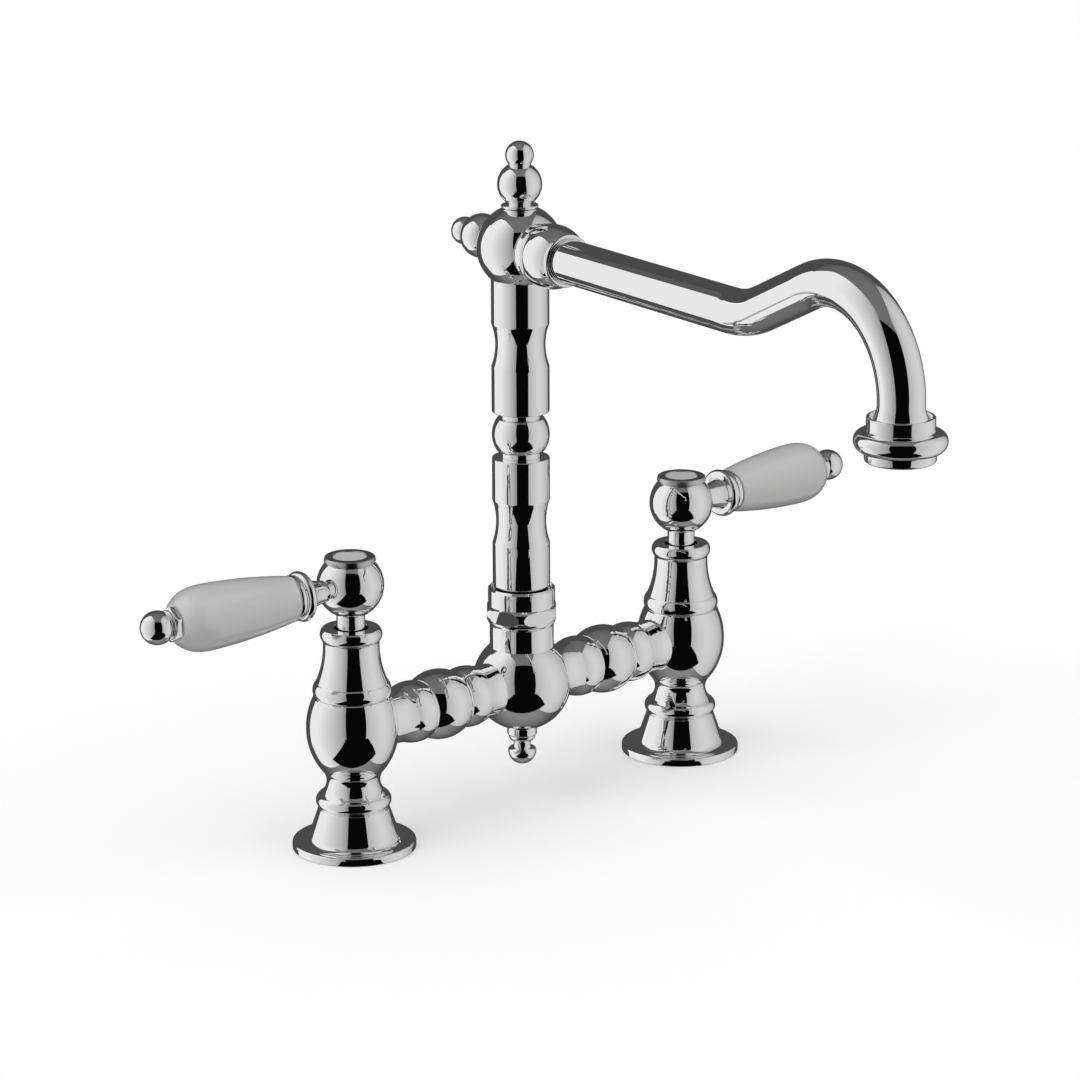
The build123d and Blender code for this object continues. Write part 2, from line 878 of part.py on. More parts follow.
def make_bottom_finial():
    """Cup, throat and mushroom-shaped tip on a stud; drops are measured below the cup's seat."""
    seat = bridge_height - sqrt(centre_ball_radius**2 - bottom_cup_radius**2)
    cup_end = seat - bottom_step_drop - bottom_cup_round
    rim_middle = seat - bottom_rim_top - bottom_rim_round
    return turned(
        (0, rim_middle - bottom_tip_radius),
        (bottom_tip_radius, rim_middle, bottom_tip_radius),
        (bottom_rim_inner_radius, seat - bottom_rim_top, bottom_rim_round),
        (bottom_throat_radius, seat - bottom_throat_end, -1),
        (bottom_throat_radius, cup_end),
        (bottom_step_radius, seat - bottom_step_drop, bottom_cup_round),
        (bottom_cup_radius - edge_break / 2, seat - bottom_cup_rim),
        (bottom_cup_radius, seat - bottom_cup_rim + edge_break / 2),
        (bottom_cup_radius, seat),
        (bottom_stud_radius, seat),
        (bottom_stud_radius, seat + bottom_stud_length),
        (0, seat + bottom_stud_length),
    )


# ---- Swivel joint ----


def make_union_nut():
    thread_bore = nut_thread_radius + thread_clearance
    relief_bore = split_ring_radius + seat_clearance
    lip_bore = column_foot_radius + 2 * seat_clearance
    lip_bottom = split_ring_top + seat_clearance
    belt_round = round_for(nut_belt_end - nut_belt_start, nut_belt_radius - nut_belt_edge_radius)
    shell = turned(
        (thread_bore, nut_bottom),
        (nut_foot_radius, nut_bottom),
        (nut_belt_edge_radius, nut_bottom + nut_belt_start, 2 * nut_belt_start),
        (nut_belt_edge_radius, nut_bottom + nut_belt_end, belt_round),
        (nut_barrel_radius, nut_bottom + nut_belt_end + edge_break),
        (nut_barrel_radius, nut_top - nut_top_bevel),
        (nut_barrel_radius - nut_top_bevel, nut_top),
        (nut_recess_radius, nut_top),
        (nut_recess_radius, nut_top - nut_recess_depth),
        (lip_bore, nut_top - nut_recess_depth),
        (lip_bore, lip_bottom),
        (relief_bore, lip_bottom),
        (relief_bore, centre_top),
        (thread_bore, centre_top),
    )
    belt_top = nut_bottom + nut_belt_end
    hexagon = Rot(0, 0, nut_hex_turn) * hex_bar(nut_hex_flats, nut_bottom, belt_top)
    return shell - (rod(2 * nut_belt_radius, nut_bottom, belt_top) - hexagon)


def make_split_ring():
    body = ring(
        ring_groove_radius + seat_clearance, split_ring_radius, centre_top, split_ring_top
    )
    middle = (ring_groove_radius + split_ring_radius) / 2
    slot = Pos(0, middle, (centre_top + split_ring_top) / 2) * Box(
        split_ring_gap, middle, 2 * split_ring_thickness
    )
    return body - slot


def seal_heights():
    """Heights of the swivel seals on the column's tail."""
    lowest = tail_bottom + swivel_seal_setback
    return (lowest, lowest + swivel_seal_pitch)


def make_swivel_seals():
    middle_radius = swivel_tail_radius - swivel_seal_section
    seals = [Pos(0, 0, height) * Torus(middle_radius, swivel_seal_section) for height in seal_heights()]
    return seals[0] + seals[1]


# ---- Turned column ----


def make_lower_column():
    socket_radius = knop_spigot_radius + thread_clearance
    socket_bottom = lower_column_top - knop_spigot_length - seat_clearance
    foot_top = nut_top + column_foot_rise
    waist_start = nut_top + lower_waist_start
    waist_end = waist_start + lower_waist_length
    waist_round = round_for(lower_waist_length, lower_waist_depth)
    column = turned(
        (swivel_tail_bore, tail_bottom),
        (swivel_tail_radius - edge_break, tail_bottom),
        (swivel_tail_radius, tail_bottom + edge_break),
        (swivel_tail_radius, tail_top),
        (ring_seat_radius - seat_clearance, tail_top),
        (ring_seat_radius - seat_clearance, column_flange_top),
        (ring_groove_radius, column_flange_top),
        (ring_groove_radius, column_shoulder),
        (column_foot_radius, column_shoulder),
        (column_foot_radius, foot_top),
        (column_radius - column_foot_round, foot_top),
        (column_radius, foot_top + column_foot_round, column_foot_round),
        (column_radius, waist_start),
        (column_radius, waist_end, -waist_round),
        (column_radius, lower_column_top - edge_break),
        (column_radius - edge_break, lower_column_top),
        (socket_radius, lower_column_top),
        (socket_radius, socket_bottom),
        (column_bore, socket_bottom),
        (column_bore, nut_top),
        (swivel_tail_bore, nut_top - column_bore),
    )
    groove_floor = swivel_tail_radius - 2 * swivel_seal_section - thread_clearance
    for height in seal_heights():
        low = height - swivel_groove_width / 2
        column -= ring(groove_floor, ring_groove_radius, low, low + swivel_groove_width)
    return column


def make_knop():
    cut_radius = sqrt(knop_radius**2 - knop_half_height**2)
    low_neck = knop_height - knop_half_height
    high_neck = knop_height + knop_half_height
    return turned(
        (knop_bore, lower_column_top - knop_spigot_length),
        (knop_spigot_radius, lower_column_top - knop_spigot_length),
        (knop_spigot_radius, lower_column_top),
        (knop_neck_radius, lower_column_top),
        (knop_neck_radius, low_neck),
        (cut_radius, low_neck),
        (cut_radius, high_neck, knop_radius),
        (knop_neck_radius, high_neck),
        (knop_neck_radius, upper_column_bottom),
        (knop_spigot_radius, upper_column_bottom),
        (knop_spigot_radius, upper_column_bottom + knop_spigot_length),
        (knop_bore, upper_column_bottom + knop_spigot_length),
    )


def make_upper_column():
    socket_radius = knop_spigot_radius + thread_clearance
    socket_top = upper_column_bottom + knop_spigot_length + seat_clearance
    waist_start = upper_column_bottom + upper_waist_start
    waist_end = waist_start + upper_waist_length
    waist_round = round_for(upper_waist_length, upper_waist_depth)
    spigot_top = upper_column_top + column_top_spigot_length
    return turned(
        (socket_radius, upper_column_bottom),
        (column_radius - edge_break, upper_column_bottom),
        (column_radius, upper_column_bottom + edge_break),
        (column_radius, waist_start),
        (column_radius, waist_end, -waist_round),
        (column_radius, upper_column_top),
        (column_top_spigot_radius, upper_column_top),
        (column_top_spigot_radius, spigot_top),
        (elbow_bore, spigot_top),
        (elbow_bore, upper_column_top - column_bore),
        (column_bore, upper_column_top - 2 * column_bore),
        (column_bore, socket_top),
        (socket_radius, socket_top),
    )


# ---- Elbow ball and finials, with the spout along +X ----


def make_elbow():
    spigot_hole_radius = column_top_spigot_radius + thread_clearance
    spigot_hole_top = upper_column_top + column_top_spigot_length + seat_clearance
    seat_radius = sqrt(elbow_radius**2 - finial_seat**2)
    ball = turned(
        (0, upper_column_top),
        (column_radius, upper_column_top),
        (elbow_radius, elbow_height, elbow_radius),
        (seat_radius, elbow_height + finial_seat, elbow_radius),
        (0, elbow_height + finial_seat),
    )
    beyond = 2 * elbow_radius
    centre = Pos(0, 0, elbow_height)
    front_cut = centre * Pos(collar_seat + beyond / 2, 0, 0) * Box(beyond, beyond, beyond)
    back_cut = centre * Pos(-finial_seat - beyond / 2, 0, 0) * Box(beyond, beyond, beyond)
    riser = rod(elbow_bore, upper_column_top, elbow_height)
    spigot_hole = rod(spigot_hole_radius, upper_column_top, spigot_hole_top)
    waterway = centre * along_x(rod(elbow_spout_bore, 0, collar_seat))
    tube_hole = centre * along_x(
        rod(tube_radius + thread_clearance, tube_root - seat_clearance, collar_seat)
    )
    stud_hole = rod(
        finial_stud_radius + thread_clearance, finial_root - seat_clearance, finial_seat
    )
    top_hole = centre * stud_hole
    back_hole = centre * Rot(0, -90, 0) * stud_hole
    body = ball - front_cut - back_cut - riser - spigot_hole - waterway - tube_hole
    return body - top_hole - back_hole


def make_finial(ball_radius, ball_rise, tip_radius, tip_rise):
    """Disc, ball and small tip ball on a stud, along +Z from the elbow's centre."""
    disc_top = finial_seat + finial_disc_thickness
    ball_bottom = ball_rise - sqrt(ball_radius**2 - finial_neck_radius**2)
    ball_top = ball_rise + sqrt(ball_radius**2 - finial_waist_radius**2)
    tip_bottom = tip_rise - sqrt(tip_radius**2 - finial_waist_radius**2)
    return turned(
        (0, finial_root),
        (finial_stud_radius, finial_root),
        (finial_stud_radius, finial_seat),
        (finial_disc_radius - edge_break, finial_seat),
        (finial_disc_radius - edge_break, disc_top, finial_disc_thickness / 2),
        (finial_neck_radius, disc_top),
        (finial_neck_radius, ball_bottom),
        (ball_radius, ball_rise, ball_radius),
        (finial_waist_radius, ball_top, ball_radius),
        (finial_waist_radius, tip_bottom),
        (tip_radius, tip_rise, tip_radius),
        (0, tip_rise + tip_radius, tip_radius),
    )


def make_bell_collar():
    """Bell-shaped collar over the spout's root, along +Z from the elbow's centre."""
    ring_end = bell_ring_start + bell_ring_width
    lip_end = bell_dome_end + bell_lip_width
    mouth_radius = tube_radius + bell_mouth_clearance
    bore = tube_radius + thread_clearance
    return turned(
        (bore, collar_seat),
        (bell_back_radius, collar_seat),
        (bell_back_radius, bell_ring_start),
        (bell_ring_edge_radius, bell_ring_start),
        (bell_ring_edge_radius, ring_end, bell_ring_round),
        (bell_dome_start_radius, ring_end + edge_break),
        (bell_dome_end_radius, bell_dome_end, bell_dome_round),
        (bell_dome_end_radius, lip_end, bell_lip_round),
        (mouth_radius, lip_end),
        (mouth_radius, lip_end - bell_mouth_depth),
        (bore, lip_end - bell_mouth_depth),
    )


def spout_path(start, tail):
    """Centreline of the spout in the XZ plane: arm, rise, run, fall and a straight tail."""
    rise_end = (
        arm_run + rise_round * sin(rise),
        elbow_height + rise_round * (1 - cos(rise)),
    )
    rise_middle = (
        arm_run + rise_round * sin(rise / 2),
        elbow_height + rise_round * (1 - cos(rise / 2)),
    )
    fall_start = (
        rise_end[0] + rise_run * cos(rise),
        rise_end[1] + rise_run * sin(rise),
    )
    fall_centre = (
        fall_start[0] + fall_round * sin(rise),
        fall_start[1] - fall_round * cos(rise),
    )
    half_fall = (radians(90) - rise) / 2
    fall_middle = (
        fall_centre[0] + fall_round * sin(half_fall),
        fall_centre[1] + fall_round * cos(half_fall),
    )
    fall_end = (fall_centre[0] + fall_round, fall_centre[1])
    runs = [
        Line((start, elbow_height), (arm_run, elbow_height)),
        ThreePointArc((arm_run, elbow_height), rise_middle, rise_end),
        Line(rise_end, fall_start),
        ThreePointArc(fall_start, fall_middle, fall_end),
        Line(fall_end, (fall_end[0], fall_end[1] - tail)),
    ]
    return Plane.XZ * (Curve() + runs)


def make_spout_tube():
    """Spout tube along +X, with a flare where it meets the outlet."""
    section = Plane((tube_root, 0, elbow_height), x_dir=(0, 1, 0), z_dir=(1, 0, 0))
    wall = Circle(tube_radius) - Circle(tube_radius - tube_wall)
    tube = sweep(section * wall, path=spout_path(tube_root, tube_tail))
    flare_top = spout_end_height - flare_start
    flare_bottom = flare_top - flare_length
    mid_wall = tube_radius - tube_wall / 2
    flare = turned(
        (mid_wall, flare_bottom),
        (flare_radius, flare_bottom),
        (tube_radius, flare_top, -2 * flare_length),
        (mid_wall, flare_top),
    )
    return tube + Pos(spout_reach, 0, 0) * flare


# ---- Outlet and aerator, about Z ----


def make_outlet_collar():
    tube_bore = tube_radius + thread_clearance
    thread_bore = aerator_thread_radius + thread_clearance
    mouth_bottom = outlet_top - outlet_mouth_depth
    bottom_round = round_for(
        2 * outlet_bead_bottom_height, outlet_bead_radius - outlet_bead_foot_radius
    )
    return turned(
        (thread_bore, outlet_bottom),
        (outlet_bead_foot_radius, outlet_bottom),
        (outlet_bead_radius, bead_middle, bottom_round),
        (outlet_bead_top_radius, bead_middle + outlet_bead_top_height, outlet_bead_top_height),
        (outlet_collar_radius, bead_middle + outlet_bead_top_height + edge_break),
        (outlet_collar_radius, outlet_top - edge_break),
        (outlet_collar_radius - edge_break, outlet_top),
        (outlet_mouth_radius, outlet_top),
        (outlet_mouth_radius, mouth_bottom),
        (tube_bore, mouth_bottom),
        (tube_bore, outlet_socket_bottom),
        (outlet_bore_radius, outlet_socket_bottom),
        (outlet_bore_radius, washer_top),
        (thread_bore, washer_top),
    )


def make_aerator_shell():
    lip_radius = aerator_bore_radius - aerator_lip
    lip_top = aerator_bottom + aerator_lip
    return turned(
        (lip_radius, aerator_bottom),
        (aerator_rim_radius - aerator_rim_round, aerator_bottom),
        (aerator_rim_radius, aerator_bottom + aerator_rim_round, aerator_rim_round),
        (aerator_rim_radius, outlet_bottom),
        (aerator_thread_radius, outlet_bottom),
        (aerator_thread_radius, aerator_top),
        (aerator_bore_radius, aerator_top),
        (aerator_bore_radius, lip_top),
        (lip_radius, lip_top),
    )


def make_aerator_screen():
    """Square-holed screen in the outlet's mouth."""
    radius = aerator_bore_radius - seat_clearance
    pitch = screen_slot + screen_bar
    steps = int(radius / pitch)
    clear = radius - screen_bar
    places = [
        (column * pitch, row * pitch)
        for column in range(-steps, steps + 1)
        for row in range(-steps, steps + 1)
        if hypot(abs(column) * pitch + screen_slot / 2, abs(row) * pitch + screen_slot / 2) < clear
    ]
    flat = Circle(radius) - [Pos(*place) * Rectangle(screen_slot, screen_slot) for place in places]
    return Pos(0, 0, aerator_bottom + aerator_lip) * extrude(flat, screen_thickness)


def make_aerator_insert():
    """Jet former that stands on the screen."""
    base = aerator_bottom + aerator_lip + screen_thickness
    radius = aerator_bore_radius - seat_clearance
    body = rod(radius, base, base + insert_length)
    for turn in range(insert_hole_count):
        jet = rod(insert_hole_radius, base, base + insert_length)
        body -= Rot(0, 0, turn * 360 / insert_hole_count) * Pos(insert_hole_circle, 0, 0) * jet
    return body


def make_aerator_washer():
    return ring(washer_inner_radius, aerator_thread_radius, aerator_top, washer_top)


# ---- Placing and saving ----


def save(name, shape):
    """Write one piece under its own name."""
    export_step(shape, "parts/" + name + ".step")


os.makedirs("parts", exist_ok=True)

pillar_pieces = {
    "foot": make_foot(),
    "base_seal": make_base_seal(),
    "bonnet": make_bonnet(),
    "seat_seal": make_seat_seal(),
    "fixed_disc": make_disc(disc_height, 90),
    "cartridge": make_cartridge(),
}
valve_body = make_valve_body()
hub_pieces = {
    "spindle": make_spindle(),
    "moving_disc": make_disc(moving_disc_height, 0),
    "hub": make_hub(),
    "index_ring": make_index_ring(),
    "index_button": make_index_button(),
    "hub_screw": make_hub_screw(),
}
arm_pieces = {
    "lever_arm": make_lever_arm(),
    "tie_rod": make_tie_rod(),
    "sleeve_cushions": make_cushions(),
    "lever_sleeve": make_sleeve(),
    "tip_washer": make_tip_washer(),
    "tip_ball": make_tip_ball(),
}
lever_headings = {"left": 180 - left_lever_rest_turn, "right": right_lever_rest_turn}
for name, side, bridge_turn in (("left", -1, 0), ("right", 1, 180)):
    axis = Pos(side * half_spacing, 0, 0)
    lever = axis * Rot(0, 0, lever_headings[name])
    for piece, shape in pillar_pieces.items():
        save(name + "_" + piece, axis * shape)
    save(name + "_valve_body", axis * Rot(0, 0, bridge_turn) * valve_body)
    for piece, shape in hub_pieces.items():
        save(name + "_" + piece, lever * shape)
    for piece, shape in arm_pieces.items():
        save(name + "_" + piece, lever * Pos(0, 0, lever_height) * along_x(shape))

link_places = [Pos(side * half_spacing / 2, 0, bridge_height) for side in (-1, 1)]
save("left_bridge_link", link_places[0] * make_link())
save("right_bridge_link", link_places[1] * make_link())
save("bridge_seals", link_places[0] * make_link_seals() + link_places[1] * make_link_seals())
save("centre_body", make_centre_body())
save("bottom_finial", make_bottom_finial())
save("union_nut", make_union_nut())
save("split_ring", make_split_ring())

spout_pieces = {
    "lower_column": make_lower_column(),
    "swivel_seals": make_swivel_seals(),
    "column_knop": make_knop(),
    "upper_column": make_upper_column(),
    "elbow_ball": make_elbow(),
    "top_finial": Pos(0, 0, elbow_height)
    * make_finial(top_ball_radius, top_ball_rise, top_tip_radius, top_tip_rise),
    "back_finial": Pos(0, 0, elbow_height)
    * Rot(0, -90, 0)
    * make_finial(back_ball_radius, back_ball_rise, back_tip_radius, back_tip_rise),
    "spout_collar": Pos(0, 0, elbow_height) * along_x(make_bell_collar()),
    "spout_tube": make_spout_tube(),
}
outlet_pieces = {
    "outlet_collar": make_outlet_collar(),
    "aerator_shell": make_aerator_shell(),
    "aerator_screen": make_aerator_screen(),
    "aerator_insert": make_aerator_insert(),
    "aerator_washer": make_aerator_washer(),
}
spout_heading = Rot(0, 0, spout_rest_turn - 90)
for name, shape in spout_pieces.items():
    save(name, spout_heading * shape)
for name, shape in outlet_pieces.items():
    save(name, spout_heading * Pos(spout_reach, 0, 0) * shape)
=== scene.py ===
import json
from math import atan2, ceil, cos, hypot, pi, radians, sin, tan

import bpy
import numpy as np
from mathutils import Matrix, Vector


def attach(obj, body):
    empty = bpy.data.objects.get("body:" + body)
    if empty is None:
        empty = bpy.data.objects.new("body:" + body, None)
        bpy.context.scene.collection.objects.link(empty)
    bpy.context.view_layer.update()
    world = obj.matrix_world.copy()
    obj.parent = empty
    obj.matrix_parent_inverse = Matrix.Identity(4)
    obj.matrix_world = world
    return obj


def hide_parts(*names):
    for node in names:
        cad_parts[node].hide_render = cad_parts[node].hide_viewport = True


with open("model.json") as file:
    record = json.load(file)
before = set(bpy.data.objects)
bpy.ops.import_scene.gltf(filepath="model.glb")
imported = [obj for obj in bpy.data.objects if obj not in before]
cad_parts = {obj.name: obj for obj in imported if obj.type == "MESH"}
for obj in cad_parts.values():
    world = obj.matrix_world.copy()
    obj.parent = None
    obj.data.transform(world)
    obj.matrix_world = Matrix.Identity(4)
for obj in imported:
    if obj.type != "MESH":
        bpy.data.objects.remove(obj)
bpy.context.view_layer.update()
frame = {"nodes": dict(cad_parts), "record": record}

# ---- Where the solids stand in the frame ----
half_spacing = 0.1
spout_rest_turn = radians(-6.5)
spout_direction = Vector((sin(spout_rest_turn), -cos(spout_rest_turn), 0.0))
upward = Vector((0.0, 0.0, 1.0))
elbow_height = 0.25891
spout_reach = 0.2654
bridge_height = 0.0557
lever_height = 0.1215
lever_turns = {"left": radians(180 - 3.9), "right": radians(1.65)}

# ---- Rounding of turned edges, and fineness of the meshes ----
# A rounding takes no more than most_of_run, as a share, of either smooth run that it joins.
edge_round = 0.00035
ring_round = 0.0009
collar_round = 0.0007
most_of_run = 0.35
sharp_turn = radians(14)
turn_steps = 112
corner_step = radians(22)
fine_step = radians(6)
same_place = 1e-6
shortest_edge = 2e-5

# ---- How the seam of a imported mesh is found, in degrees about its axis ----
seam_grid = 0.1
seam_width = 0.06
straight_bend = 0.01

# ---- Two hollows that are drawn anew, closer to the photograph than the solids' own ----
# Places are (radius, height), and a tilt is how far the surface looks up. The foot's hollow rounds
# the corner at which the flange's top and the cone would meet. The bead's is a starting place, the
# tilt there, and legs of (length, tilt at its end).
cone_tilt = radians(18.9)
foot_hollow_radius = 0.0050
foot_corner = (0.020985, 0.0038)
bead_hollow = (
    (0.0166, 0.0768),
    radians(31.8),
    (
        (0.00072, radians(50)),
        (0.00025, radians(23.5)),
        (0.00186, radians(21.1)),
    ),
)

# ---- Camera: angle and distance worked out from the photograph ----
camera_azimuth = radians(-41.46)
camera_elevation = radians(16.16)
camera_roll = radians(-0.19)
camera_distance = 1.90764
camera_target = Vector((0.01137, 0.0, 0.12072))
camera_lens = 139.29
sensor_width = 36.0
nearest_seen = 0.05
farthest_seen = 60.0

# Level directions of the studio: towards the camera, and to the camera's right.
toward_camera = Vector((sin(camera_azimuth), -cos(camera_azimuth), 0.0))
camera_right = Vector((cos(camera_azimuth), sin(camera_azimuth), 0.0))


def link(obj):
    bpy.context.scene.collection.objects.link(obj)
    return obj


def make_camera():
    back = toward_camera * cos(camera_elevation) + upward * sin(camera_elevation)
    level_up = back.cross(camera_right)
    right = cos(camera_roll) * camera_right + sin(camera_roll) * level_up
    up = cos(camera_roll) * level_up - sin(camera_roll) * camera_right
    data = bpy.data.cameras.new("photo_camera")
    data.lens = camera_lens
    data.sensor_width = sensor_width
    data.clip_start = nearest_seen
    data.clip_end = farthest_seen
    camera = link(bpy.data.objects.new("photo_camera", data))
    turn = Matrix((right, up, back)).transposed().to_4x4()
    camera.matrix_world = Matrix.Translation(camera_target + back * camera_distance) @ turn
    bpy.context.scene.camera = camera


# ---- Materials: scales are noise cells per metre, heights are in metres ----
noise_low, noise_high = 0.35, 0.75
smear_scale = 90
least_gloss, most_gloss = 0.6, 1.8
wave_scale = 70
cloud_scale = 45
cloud_shade = 0.97
ripple_scale = 160
ripple_height = 4e-6
speck_scale = 900
speck_shade = 0.85
glaze = {
    "Roughness": 0.3,
    "IOR": 1.5,
    "Coat Weight": 1.0,
    "Coat Roughness": 0.03,
    "Coat IOR": 1.55,
    "Subsurface Weight": 0.1,
    "Subsurface Radius": (1.0, 0.9, 0.8),
    "Subsurface Scale": 0.001,
}


def new_material(name):
    made = bpy.data.materials.new(name)
    made.use_nodes = True
    return made, made.node_tree.nodes, made.node_tree.links


def add_noise(nodes, links, place, scale, detail):
    noise = nodes.new("ShaderNodeTexNoise")
    noise.inputs["Scale"].default_value = scale
    noise.inputs["Detail"].default_value = detail
    links.new(place, noise.inputs["Vector"])
    return noise.outputs["Fac"]


def add_range(nodes, links, value, low, high, to_low, to_high):
    spread = nodes.new("ShaderNodeMapRange")
    spread.inputs["From Min"].default_value = low
    spread.inputs["From Max"].default_value = high
    spread.inputs["To Min"].default_value = to_low
    spread.inputs["To Max"].default_value = to_high
    links.new(value, spread.inputs["Value"])
    return spread.outputs["Result"]


def add_bump(nodes, links, height, distance):
    bump = nodes.new("ShaderNodeBump")
    bump.inputs["Strength"].default_value = 1.0
    bump.inputs["Distance"].default_value = distance
    links.new(height, bump.inputs["Height"])
    return bump.outputs["Normal"]


def add_tint(nodes, links, share, colour, shade):
    """A colour that changes between a darker shade of itself and the full one."""
    tint = nodes.new("ShaderNodeMix")
    tint.data_type = "RGBA"
    tint.inputs["A"].default_value = (*[shade * c for c in colour], 1)
    tint.inputs["B"].default_value = (*colour, 1)
    links.new(share, tint.inputs["Factor"])
    return tint.outputs["Result"]


def polished_metal(name, colour, roughness, wave):
    """Plated or polished metal, with fine changes of gloss and a waviness left by polishing."""
    made, nodes, links = new_material(name)
    shader = nodes["Principled BSDF"]
    shader.inputs["Base Color"].default_value = (*colour, 1)
    shader.inputs["Metallic"].default_value = 1.0
    place = nodes.new("ShaderNodeTexCoord").outputs["Object"]
    smears = add_noise(nodes, links, place, smear_scale, detail=4)
    smooth, dull = least_gloss * roughness, most_gloss * roughness
    gloss = add_range(nodes, links, smears, noise_low, noise_high, smooth, dull)
    links.new(gloss, shader.inputs["Roughness"])
    waves = add_noise(nodes, links, place, wave_scale, detail=1)
    bumps = add_bump(nodes, links, waves, wave)
    links.new(bumps, shader.inputs["Normal"])
    return made


def glazed_porcelain(name, colour):
    """White glaze over a slightly uneven body."""
    made, nodes, links = new_material(name)
    shader = nodes["Principled BSDF"]
    place = nodes.new("ShaderNodeTexCoord").outputs["Object"]
    clouds = add_noise(nodes, links, place, cloud_scale, detail=3)
    tint = add_tint(nodes, links, clouds, colour, cloud_shade)
    links.new(tint, shader.inputs["Base Color"])
    for setting, number in glaze.items():
        shader.inputs[setting].default_value = number
    ripples = add_noise(nodes, links, place, ripple_scale, detail=2)
    bumps = add_bump(nodes, links, ripples, ripple_height)
    links.new(bumps, shader.inputs["Normal"])
    links.new(bumps, shader.inputs["Coat Normal"])
    return made


def plain_finish(name, colour, roughness, grain):
    """Dull moulded or ground surface with a fine grain."""
    made, nodes, links = new_material(name)
    shader = nodes["Principled BSDF"]
    place = nodes.new("ShaderNodeTexCoord").outputs["Object"]
    specks = add_noise(nodes, links, place, speck_scale, detail=3)
    tint = add_tint(nodes, links, specks, colour, speck_shade)
    links.new(tint, shader.inputs["Base Color"])
    shader.inputs["Roughness"].default_value = roughness
    bumps = add_bump(nodes, links, specks, grain)
    links.new(bumps, shader.inputs["Normal"])
    return made


materials = {
    "chrome": polished_metal("chrome", (0.93, 0.93, 0.935), roughness=0.02, wave=1.5e-6),
    # The porcelain is white; its colour here is a light grey, painted shade that stands in for the
    # dimmer light these pieces get.
    "porcelain": glazed_porcelain("porcelain", (0.62, 0.62, 0.615)),
    "satin": polished_metal("satin", (0.60, 0.60, 0.61), roughness=0.26, wave=1.5e-6),
    "enamel": glazed_porcelain("enamel", (0.80, 0.80, 0.79)),
    "brass": polished_metal("brass", (0.85, 0.62, 0.30), roughness=0.22, wave=2e-6),
    "steel": polished_metal("steel", (0.72, 0.72, 0.71), roughness=0.18, wave=2e-6),
    "ceramic": plain_finish("ceramic", (0.78, 0.76, 0.72), roughness=0.35, grain=1e-6),
    "rubber": plain_finish("rubber", (0.03, 0.03, 0.032), roughness=0.75, grain=6e-6),
    "plastic": plain_finish("plastic", (0.75, 0.76, 0.77), roughness=0.45, grain=3e-6),
}

# ---- What the record says of each node ----
slots = {part["node"]: part["material_slot"] for part in frame["record"]["subparts"]}
bodies = {
    node: body
    for body, members in frame["record"]["behaviour"]["bodies"].items()
    for node in members
}


# ---- Turned pieces: each one's own outline, spun again finely with its edges rounded ----
# An edge of an outline is ((radius, height), (radius, height), normal, normal), and the solid lies
# to the left of its way.


def read_edges(node, origin, axis):
    """Edges of a turned piece's outline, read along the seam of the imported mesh."""
    mesh = frame["nodes"][node].data
    points = np.empty(len(mesh.vertices) * 3)
    mesh.vertices.foreach_get("co", points)
    points = points.reshape(-1, 3) - np.array(origin)
    corners = np.empty(len(mesh.loops), int)
    mesh.loops.foreach_get("vertex_index", corners)
    normals = np.array([corner.vector for corner in mesh.corner_normals])
    across = np.array(Vector(axis).orthogonal().normalized())
    axis = np.array(axis)
    beyond = np.cross(axis, across)
    heights = points @ axis
    radii = np.linalg.norm(points - np.outer(heights, axis), axis=1)
    turns = np.degrees(np.arctan2(points @ beyond, points @ across))

    triangles = np.arange(len(corners)).reshape(-1, 3)
    starts = triangles.ravel()
    ends = np.roll(triangles, -1, axis=1).ravel()
    first, last = corners[starts], corners[ends]
    at_axis = (radii[first] < same_place) | (radii[last] < same_place)
    bend = np.abs((turns[first] - turns[last] + 180) % 360 - 180)
    straight = turns[first][(bend < straight_bend) & ~at_axis]
    values, counts = np.unique(np.round(straight / seam_grid).astype(int), return_counts=True)
    seam = values[counts.argmax()] * seam_grid
    seam_way = cos(radians(seam)) * across + sin(radians(seam)) * beyond

    def on_seam(index):
        off = np.abs((turns[index] - seam + 180) % 360 - 180)
        return (off < seam_width) | (radii[index] < same_place)

    off_axis = (radii[first] > same_place) | (radii[last] > same_place)
    chosen = on_seam(first) & on_seam(last) & off_axis
    edges = {}
    for start, end in zip(starts[chosen], ends[chosen]):
        a, b = corners[start], corners[end]
        p, q = (radii[a], heights[a]), (radii[b], heights[b])
        n = (normals[start] @ seam_way, normals[start] @ axis)
        m = (normals[end] @ seam_way, normals[end] @ axis)
        if (q[1] - p[1]) * (n[0] + m[0]) - (q[0] - p[0]) * (n[1] + m[1]) < 0:
            p, q, n, m = q, p, m, n
        edges[place_key(p), place_key(q)] = (p, q, n, m)
    return list(edges.values())


def place_key(point):
    return round(point[0] / same_place), round(point[1] / same_place)


def close_flats(edges):
    """Adds the flat rings and discs, which have no seam of their own."""
    outgoing = {place_key(edge[0]) for edge in edges}
    incoming = {place_key(edge[1]) for edge in edges}
    open_places = {}
    for edge in edges:
        if place_key(edge[0]) not in incoming:
            open_places.setdefault(place_key(edge[0])[1], []).append((edge[0], True))
        if place_key(edge[1]) not in outgoing:
            open_places.setdefault(place_key(edge[1])[1], []).append((edge[1], False))
    for places in open_places.values():
        places = [item for item in places if item[0][0] > same_place]
        places.sort(key=lambda item: item[0][0])
        if len(places) % 2:
            is_start = places[0][1]
            places.insert(0, ((0.0, places[0][0][1]), not is_start))
        for inner, outer in zip(places[::2], places[1::2]):
            start, end = (inner, outer) if outer[1] else (outer, inner)
            way = 1.0 if end[0][0] > start[0][0] else -1.0
            edges.append((start[0], end[0], (0.0, -way), (0.0, -way)))
    return edges


